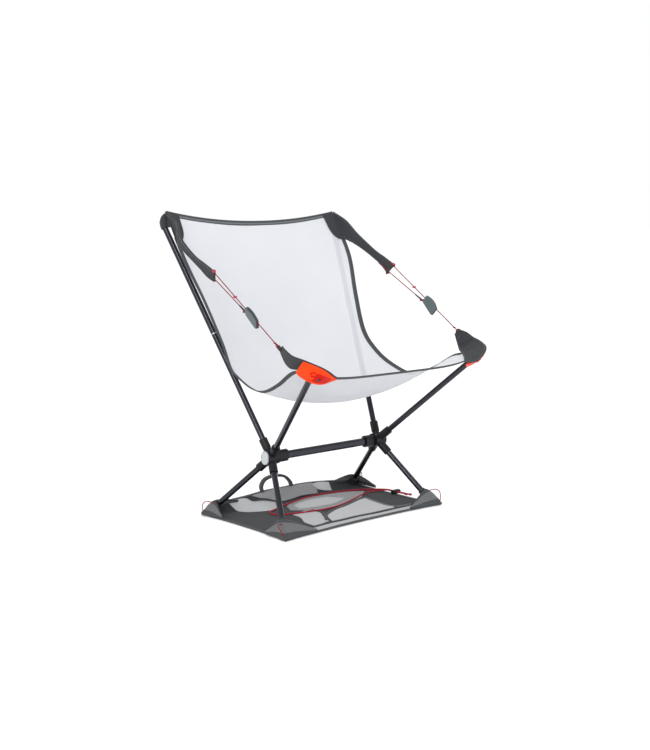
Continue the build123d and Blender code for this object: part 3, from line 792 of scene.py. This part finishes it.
# Top, middle and lower edges of the moulded socket outside the patch.
SOCKET_EDGES = (
    (
        mm(255, -212, 362), mm(249.4, -227.5, 357.6), mm(240, -239.5, 351.8), mm(228, -245, 344.5),
        mm(214, -246, 335), mm(191, -237, 325.2),
    ),
    (
        mm(257.5, -204, 351.9), mm(251, -218, 342.3), mm(239, -224.5, 334), mm(225.5, -229, 328.8),
        mm(210, -232, 325), mm(190, -233, 324),
    ),
    (
        mm(254.7, -190, 338.1), mm(248.2, -198, 329.2), mm(239, -204, 323), mm(224, -205, 316.8),
        mm(208, -213, 314.3), mm(190, -226, 322.5),
    ),
)
for name, side in SIDES:
    outer = smooth_path(PATCH_OUTER, 6)
    inner = smooth_path(PATCH_INNER, 6)
    rows = []
    for p, q in zip(outer, inner):
        bulge = mm(0.5, -0.6, 0.6) * ((p - q).length * FLAP_BULGE) * 1000
        row = [p.lerp(q, k / 12) + bulge * math.sin(math.pi * k / 12) for k in range(13)]
        rows.append([mirrored(side, point) for point in row])
    flap = soften(grid(f"corner_flap_{name}", rows, PATCH, 0.0024), 1)
    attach(flap, "frame")
    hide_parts(f"front_patch_{name}")
    for tag, near, far_line in (("outer", outer, inner), ("inner", inner, outer)):
        line = [mirrored(side, p.lerp(q, 0.07) + mm(-0.6, 0.8, 1.5)) for p, q in zip(near, far_line)]
        seam = stitches(f"flap_stitch_{tag}_{name}", line[3:])
        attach(seam, "frame")
    # A dark line along the flap's fold: painted shade in the crease.
    fold = [mirrored(side, outer[14].lerp(inner[13], t / 12) + mm(-1.6, 0.6, 0.6)) for t in range(1, 12)]
    crease = tube_mesh(f"flap_fold_{name}", fold, 0.0008, PAINTED_SHADE_DARK, 8)
    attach(crease, "frame")
    tack = stitches(
        f"bar_tack_{name}",
        [mirrored(side, mm(250.6, -157, 375)), mirrored(side, mm(249.8, -153, 369))],
        TAPE_LIGHT, 0.0012, 0.0011, 0.0006,
    )
    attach(tack, "frame")
    eyelet_path = []
    for k in range(25):
        angle = 2 * math.pi * k / 24
        along_line = TAB + LINE * EYELET_R * math.cos(angle)
        eyelet_path.append(mirrored(side, along_line + WIDTH * EYELET_R * math.sin(angle)))
    eyelet = tube_mesh(f"tab_eyelet_{name}", eyelet_path, 0.0019, PATCH, 10, False)
    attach(eyelet, "frame")

    edges = [smooth_path(edge, 5) for edge in SOCKET_EDGES]
    rows = []
    for top, middle_point, low in zip(*edges):
        handle_point = middle_point * 2 - (top + low) / 2
        rows.append([mirrored(side, bezier((top, handle_point, low), k / 12)) for k in range(13)])
    plate = soften(grid(f"corner_socket_{name}", rows, ORANGE, 0.003), 1)
    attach(plate, "frame")
    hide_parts(f"front_socket_{name}")
    tip = mirrored(side, mm(236, -216, 336))
    down_pole = (mirrored(side, mm(155, 0, 137)) - tip).normalized()
    cup_path = [tip + down_pole * d * MM for d in (-6, -5.5, -3, 0, 3, 4)]
    cup = tube_mesh(f"socket_cup_{name}", cup_path, lambda t: 0.0086 if 0.1 < t < 0.9 else 0.0076, ORANGE, 28)
    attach(cup, "frame")
    # The socket's shaded half is a raised inset in the darker red: painted shade.
    inset_rows = []
    for before, here, after in zip(rows[10:21], rows[11:22], rows[12:23]):
        inset_row = []
        for k in range(3, 11):
            out = (after[k] - before[k]).cross(here[k + 1] - here[k - 1]).normalized()
            if out.dot(here[k] - tip) < 0:
                out = -out
            inset_row.append(here[k] + out * 0.0016)
        inset_rows.append(inset_row)
    inset = soften(grid(f"socket_inset_{name}", inset_rows, PAINTED_SHADE_RED, 0.0008), 1)
    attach(inset, "frame")
    # Collar and recess rings in the darker red, painted shade; the hole is a near-black disc, painted shade.
    for label, column, row, radius, tube_r, material in (
        ("collar", 9, 5, 0.0056, 0.0011, PAINTED_SHADE_RED), ("recess", 14, 6, 0.0046, 0.0014, PAINTED_SHADE_RED),
        ("hole", 14, 7, 0.0009, 0.0028, PAINTED_SHADE_DARK),
    ):
        centre = rows[column][row]
        over = (rows[column + 1][row] - rows[column - 1][row]).normalized()
        down = (rows[column][row + 1] - rows[column][row - 1]).normalized()
        normal = over.cross(down).normalized()
        if normal.dot(centre - tip) < 0:
            normal = -normal
        depth = 0.0022 if label != "hole" else 0.0016
        ring_path = [
            centre + normal * depth + (over * math.cos(a) + normal.cross(over) * math.sin(a)) * radius
            for a in [2 * math.pi * k / 28 for k in range(29)]
        ]
        ring = tube_mesh(f"socket_{label}_{name}", ring_path, tube_r, material, 10, False)
        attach(ring, "frame")

# ---------------------------------------------------------------- cord adjusters
# Outline along and across the cord, then lifts off its plane with the outline's scale there, in millimetres.
ADJUSTER_OUTLINE = (
    (-21.5, 0), (-20, -2.5), (-11, -6.8), (0, -9.9), (10, -9.9), (19, -8), (21, -5.5),
    (19, 6), (17, 10.5), (10, 11.5), (0, 13.8), (-10, 15.6), (-20, 17), (-22.5, 15),
)
ADJUSTER_RINGS = (
    (-4.6, 0.80), (-4.2, 0.93), (-2.4, 1.0), (-0.7, 1.0), (-0.5, 0.96),
    (0.5, 0.96), (0.7, 1.0), (2.4, 1.0), (4.2, 0.93), (4.6, 0.80),
)
# Faces nearer to the middle plane than this, in metres, get the dark material: painted shade on the
# adjuster's side walls.
SHADED_WALL_HALF = 0.0026
for name, side in SIDES:
    points = []
    for out, scale in ADJUSTER_RINGS:
        for a, b in ADJUSTER_OUTLINE:
            points.append(mirrored(side, on_line(ADJUSTER_AT + a * scale * MM, b * scale * MM, out * MM)))
    count = len(ADJUSTER_OUTLINE)
    faces = [
        (r * count + k, r * count + (k + 1) % count, (r + 1) * count + (k + 1) % count, (r + 1) * count + k)
        for r in range(len(ADJUSTER_RINGS) - 1)
        for k in range(count)
    ]
    faces.append(tuple(reversed(range(count))))
    faces.append(tuple((len(ADJUSTER_RINGS) - 1) * count + k for k in range(count)))
    body = add_mesh(f"cord_adjuster_{name}", points, faces, ADJUSTER)
    # The side walls take the near-black colour, painted shade.
    body.data.materials.append(PAINTED_SHADE_DARK)
    body_centre = mirrored(side, on_line(ADJUSTER_AT))
    body_normal = mirrored(side, FACE)
    for polygon in body.data.polygons:
        lifts = [(body.data.vertices[v].co - body_centre).dot(body_normal) for v in polygon.vertices]
        if abs(sum(lifts) / len(lifts)) < SHADED_WALL_HALF:
            polygon.material_index = 1
    soften(body, 1, 0.0005)
    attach(body, f"adjuster_{name}")
    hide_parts(f"adjuster_{name}")

# ---------------------------------------------------------------- ground sheet
def ease(t):
    t = min(1.0, max(0.0, t))
    return t * t * (3 - 2 * t)


# Height of the flat cloth, of the fold along its rear edge, of the hump on that and of the ripples, and the y
# where the fold begins and its depth, in millimetres.
CLOTH_Z = 1.4
FOLD_HEIGHT = 20
HUMP_HEIGHT = 6
RIPPLE_HEIGHT = 0.35
FOLD_FROM = 114
FOLD_DEPTH = 34


def ground(x, y, lift=0.0):
    """A point on the ground sheet, x and y in millimetres. Its rear edge stands up in a loose fold."""
    fold = FOLD_HEIGHT * ease((y - FOLD_FROM) / FOLD_DEPTH) * max(0.0, 1 - abs(x / 232) ** 6)
    hump = HUMP_HEIGHT * math.exp(-(((x - 20) / 100) ** 4)) * math.exp(-(((y - 140) / 18) ** 2))
    ripple = RIPPLE_HEIGHT * math.sin(x / 19 + y / 31) * math.cos(y / 23 - x / 61)
    return mm(x, y, CLOTH_Z + fold + hump + ripple + lift)


REAR_Y = 150
CORNERS = ((-241, -143), (222, -133), (-226, REAR_Y - 2), (236, REAR_Y - 2))
# How far the middle of each edge leaves the straight line, in millimetres: sides and front in, rear out.
SIDE_IN = 9
FRONT_IN = 13
REAR_OUT = 5


def bowed(s, t):
    """A place on the sheet: s from -1 to 1 across, t from -1 at the front to 1 at the rear."""
    near_left, near_right, far_left, far_right = CORNERS
    t01 = (t + 1) / 2
    s01 = (s + 1) / 2
    left = near_left[0] + (far_left[0] - near_left[0]) * t01 + SIDE_IN * (1 - t * t)
    right = near_right[0] + (far_right[0] - near_right[0]) * t01 - SIDE_IN * (1 - t * t)
    low = near_left[1] + (near_right[1] - near_left[1]) * s01 + FRONT_IN * (1 - s * s)
    high = far_left[1] + REAR_OUT * (1 - s * s)
    return left + (right - left) * s01, low + (high - low) * t01


def laid(name, left, right, material, lift, density=14, thickness=0.0005):
    """A panel sewn on the ground sheet, between two edges given by a few points each."""
    first = smooth_path([mm(x, y, 0) for x, y in left], 8)
    second = smooth_path([mm(x, y, 0) for x, y in right], 8)
    rows = []
    for p, q in zip(first, second):
        row = []
        for k in range(density + 1):
            at = p.lerp(q, k / density) / MM
            row.append(ground(at.x, at.y, lift))
        rows.append(row)
    made = grid(name, rows, material, thickness)
    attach(made, "sheet")
    return made


def ground_tape(name, points, width, material, lift, thickness=0.0009):
    path = [ground(p.x / MM, p.y / MM, lift) for p in smooth_path([mm(x, y, 0) for x, y in points], 10)]
    direction = []
    for i in range(len(path)):
        tangent = path[min(i + 1, len(path) - 1)] - path[max(i - 1, 0)]
        direction.append(tangent.cross(Vector((0, 0, 1))))
    made = tape(name, path, direction, width, material, thickness)
    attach(made, "sheet")
    return made


SHEET_COLUMNS = 96
SHEET_ROWS = 72
rows = [
    [ground(*bowed(2 * j / SHEET_COLUMNS - 1, 2 * i / SHEET_ROWS - 1)) for j in range(SHEET_COLUMNS + 1)]
    for i in range(SHEET_ROWS + 1)
]
base = grid("ground_cloth", rows, SHEET_DARK, 0.001)
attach(base, "sheet")
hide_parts("ground_sheet")

laid(
    "panel_pale_left", ((-148, 104), (-138, 92), (-122, 84), (-104, 77), (-86, 75), (-70, 80)),
    ((-158, 140), (-128, 146), (-108, 140), (-98, 132), (-68, 128), (-42, 120)), SHEET_LIGHT, 0.7, 16,
)
laid(
    "panel_fold", ((-92, 144), (-76, 134), (-58, 129), (-19, 118), (37, 122), (86, 121)),
    ((-72, 150), (-40, 152), (-10, 153), (30, 154), (60, 153), (96, 140)), SHEET_MID, 0.7, 20,
)
laid(
    "panel_pale_rear", ((92, 128), (110, 124), (130, 121)), ((84, 138), (110, 144), (138, 141)),
    SHEET_LIGHT, 1.0, 10,
)
laid(
    "panel_centre", ((-44, 80), (-20, 96), (18, 110), (82, 112), (150, 100), (190, 76)),
    ((-64, 44), (-40, 24), (-12, 8), (51, 2), (100, 18), (144, 37)), SHEET_MID, 0.7, 24,
)
laid(
    "panel_centre_pale", ((-30, 72), (0, 88), (40, 92), (84, 90)), ((-38, 44), (0, 34), (50, 32), (104, 52)),
    SHEET_LIGHT, 0.9, 18,
)
laid(
    "panel_pale_front", ((-86, 12), (-92, -20), (-112, -56), (-118, -96)),
    ((-40, 22), (-28, -8), (-50, -46), (-66, -80)), SHEET_LIGHT, 0.7, 16,
)
laid(
    "mesh_pocket", ((-37, -38), (-4, -20), (20, -10), (54, -2), (116, 20), (140, 23)),
    ((-62, -84), (-30, -90), (0, -90), (57, -92), (110, -92), (124, -84)), POCKET_MESH, 1.0, 26,
)
laid(
    "side_band", ((-138, -104), (-70, -100), (0, -98), (80, -102), (168, -98)),
    ((-140, -121), (-80, -122), (0, -124), (80, -126), (160, -124)), SHEET_LIGHT, 0.9, 10,
)
for label, points, width, material in (
    (
        "pocket_mouth", ((-66, -74), (-50, -54), (-36, -38), (10, -14), (54, -2), (116, 21), (142, 25)),
        9, TAPE,
    ),
    ("pocket_side", ((142, 25), (128, -33), (125, -66), (140, -86), (172, -90)), 7, TAPE_LIGHT),
    ("pocket_foot", ((-118, -97), (-76, -94), (-15, -91), (56, -94), (118, -94), (172, -91)), 8, TAPE),
    ("fold_seam", ((-98, 133), (-68, 128), (-41, 121), (-19, 116), (37, 121), (87, 119)), 5, TAPE),
    ("front_seam", ((-26, 18), (-24, -13), (-38, -34)), 6, TAPE),
):
    ground_tape(f"sheet_{label}", points, width * MM, material, 1.4)
edge_points = [bowed(-1 + 2 * k / 24, -1) for k in range(25)]
edge_points += [bowed(1, -1 + 2 * k / 16) for k in range(1, 17)]
edge_points += [bowed(1 - 2 * k / 48, 1) for k in range(1, 49)]
edge_points += [bowed(-1, 1 - 2 * k / 16) for k in range(1, 17)]
# The binding's middle runs a little inside the sheet's edge.
BINDING_X = 0.985
BINDING_Y = 0.975
border = [ground(x * BINDING_X, y * BINDING_Y, 0.6) for x, y in edge_points]
direction = [Vector((p.x * 0.45, p.y, 0)) for p in border]
binding = tape("sheet_binding", border, direction, 0.010, TAPE, 0.0016)
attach(binding, "sheet")
for label, rear_edge, front_edge in (
    ("near", ((-236, -132), (-190, -118), (-140, -110)), ((-234, -141), (-190, -129), (-140, -122))),
    ("far", ((146, -112), (180, -116), (218, -120)), ((146, -123), (180, -126), (220, -131))),
):
    laid(f"corner_guard_{label}", rear_edge, front_edge, SHEET_DARK, 1.4, 6, 0.001)

# Corner hoods that take the feet, their bound mouths and the tie-out loops.
HOODS = (
    ("rear_left", -1, 1, (-226, 147), (-207, 134)),
    ("rear_right", 1, 1, (236, 147), (207, 134)),
    ("front_left", -1, -1, (-240, -142), (-211.5, -104)),
    ("front_right", 1, -1, (224, -134), (211.5, -104)),
)
for label, side, rear, (corner_x, corner_y), (foot_x, foot_y) in HOODS:
    corner = mm(corner_x, corner_y, 2.6)
    on_side = mm(corner_x - side * 4, corner_y - rear * 66, 3)
    on_end = mm(corner_x - side * 92, corner_y - rear * 9, 3)
    if rear > 0:
        on_end = ground(corner_x - side * 92, corner_y - 10, 1)
    top = mm(foot_x - side * 3, foot_y - rear * 6, 31)
    side_rise = on_side.lerp(top, 0.6) + mm(0, 0, 6)
    end_rise = on_end.lerp(top, 0.6) + mm(0, 0, 4)
    mouth = smooth_path([on_side, side_rise, top, end_rise, on_end], 8)
    skirt = smooth_path([on_side, on_side.lerp(corner, 0.6), corner, on_end.lerp(corner, 0.6), on_end], 8)
    rows = []
    for p, q in zip(mouth, skirt):
        row = []
        for k in range(13):
            s = k / 12
            row.append(p.lerp(q, s) + mm(0, 0, 7 * math.sin(math.pi * s)) * (1 - s * 0.4))
        rows.append(row)
    hood = grid(f"foot_hood_{label}", rows, HOOD_MESH, 0.0009)
    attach(hood, "sheet")
    lip_rows = [row[:4] for row in rows]
    lip = grid(f"hood_mouth_{label}", lip_rows, TAPE, 0.0022)
    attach(lip, "sheet")
    hem = grid(f"hood_hem_{label}", [row[9:] for row in rows], TAPE, 0.0018)
    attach(hem, "sheet")
    bow = 1 if label == "front_left" else 0
    loop_points = [
        corner + mm(-side + 5 * bow, -rear * 6, 1),
        corner + mm(side * 2 - bow, -rear * 6, 14),
        corner + mm(side * 2 - 5 * bow, -rear * 9, 27 - 6 * bow),
        corner + mm(-side * 3 - 8 * bow, -rear * 18, 31 - 4 * bow),
        corner + mm(-side * 12 - 3 * bow, -rear * 28, 27),
        corner + mm(-side * 17 + 5 * bow, -rear * 33, 22),
    ]
    loop = cord_curve(f"tie_loop_{label}", loop_points, CORD_D, RED_CORD)
    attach(loop, "sheet")
    if label == "rear_left":
        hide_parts("corner_pockets")
        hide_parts("tie_loops")

HANDLE_WIDTH = 0.012
HANDLE_THICK = 0.0055
handle_path = smooth_path(
    [
        ground(-58, 146, 1),
        ground(-60, 147, 14),
        ground(-48, 148, 27),
        ground(-20, 149, 31),
        ground(8, 149, 26),
        ground(24, 148, 12),
        ground(28, 147, 1),
    ],
    8,
)
across_handle = [Vector((0.2, 1, 0))] * len(handle_path)
handle = tape("handle_webbing", handle_path, across_handle, HANDLE_WIDTH, WEBBING, HANDLE_THICK)
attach(handle, "sheet")
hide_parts("carry_handle")

start = mm(*BUNGEE_ROUTE[0])

# ---------------------------------------------------------------- floor
floor = bpy.data.meshes.new("floor")
floor.from_pydata([(-40, -40, 0), (40, -40, 0), (40, 40, 0), (-40, 40, 0)], [], [(0, 1, 2, 3)])
floor_object = bpy.data.objects.new("floor", floor)
bpy.context.scene.collection.objects.link(floor_object)
floor_object.location.z = -0.0005
floor_look = Shader("floor_white", (0.96, 0.96, 0.96), 0.95).vary(2, 0.01)
floor_look.bsdf.inputs["Emission Color"].default_value = (1, 1, 1, 1)
floor.materials.append(floor_look.done(Emission_Strength=0.09))
bpy.context.scene.view_settings.view_transform = "Standard"
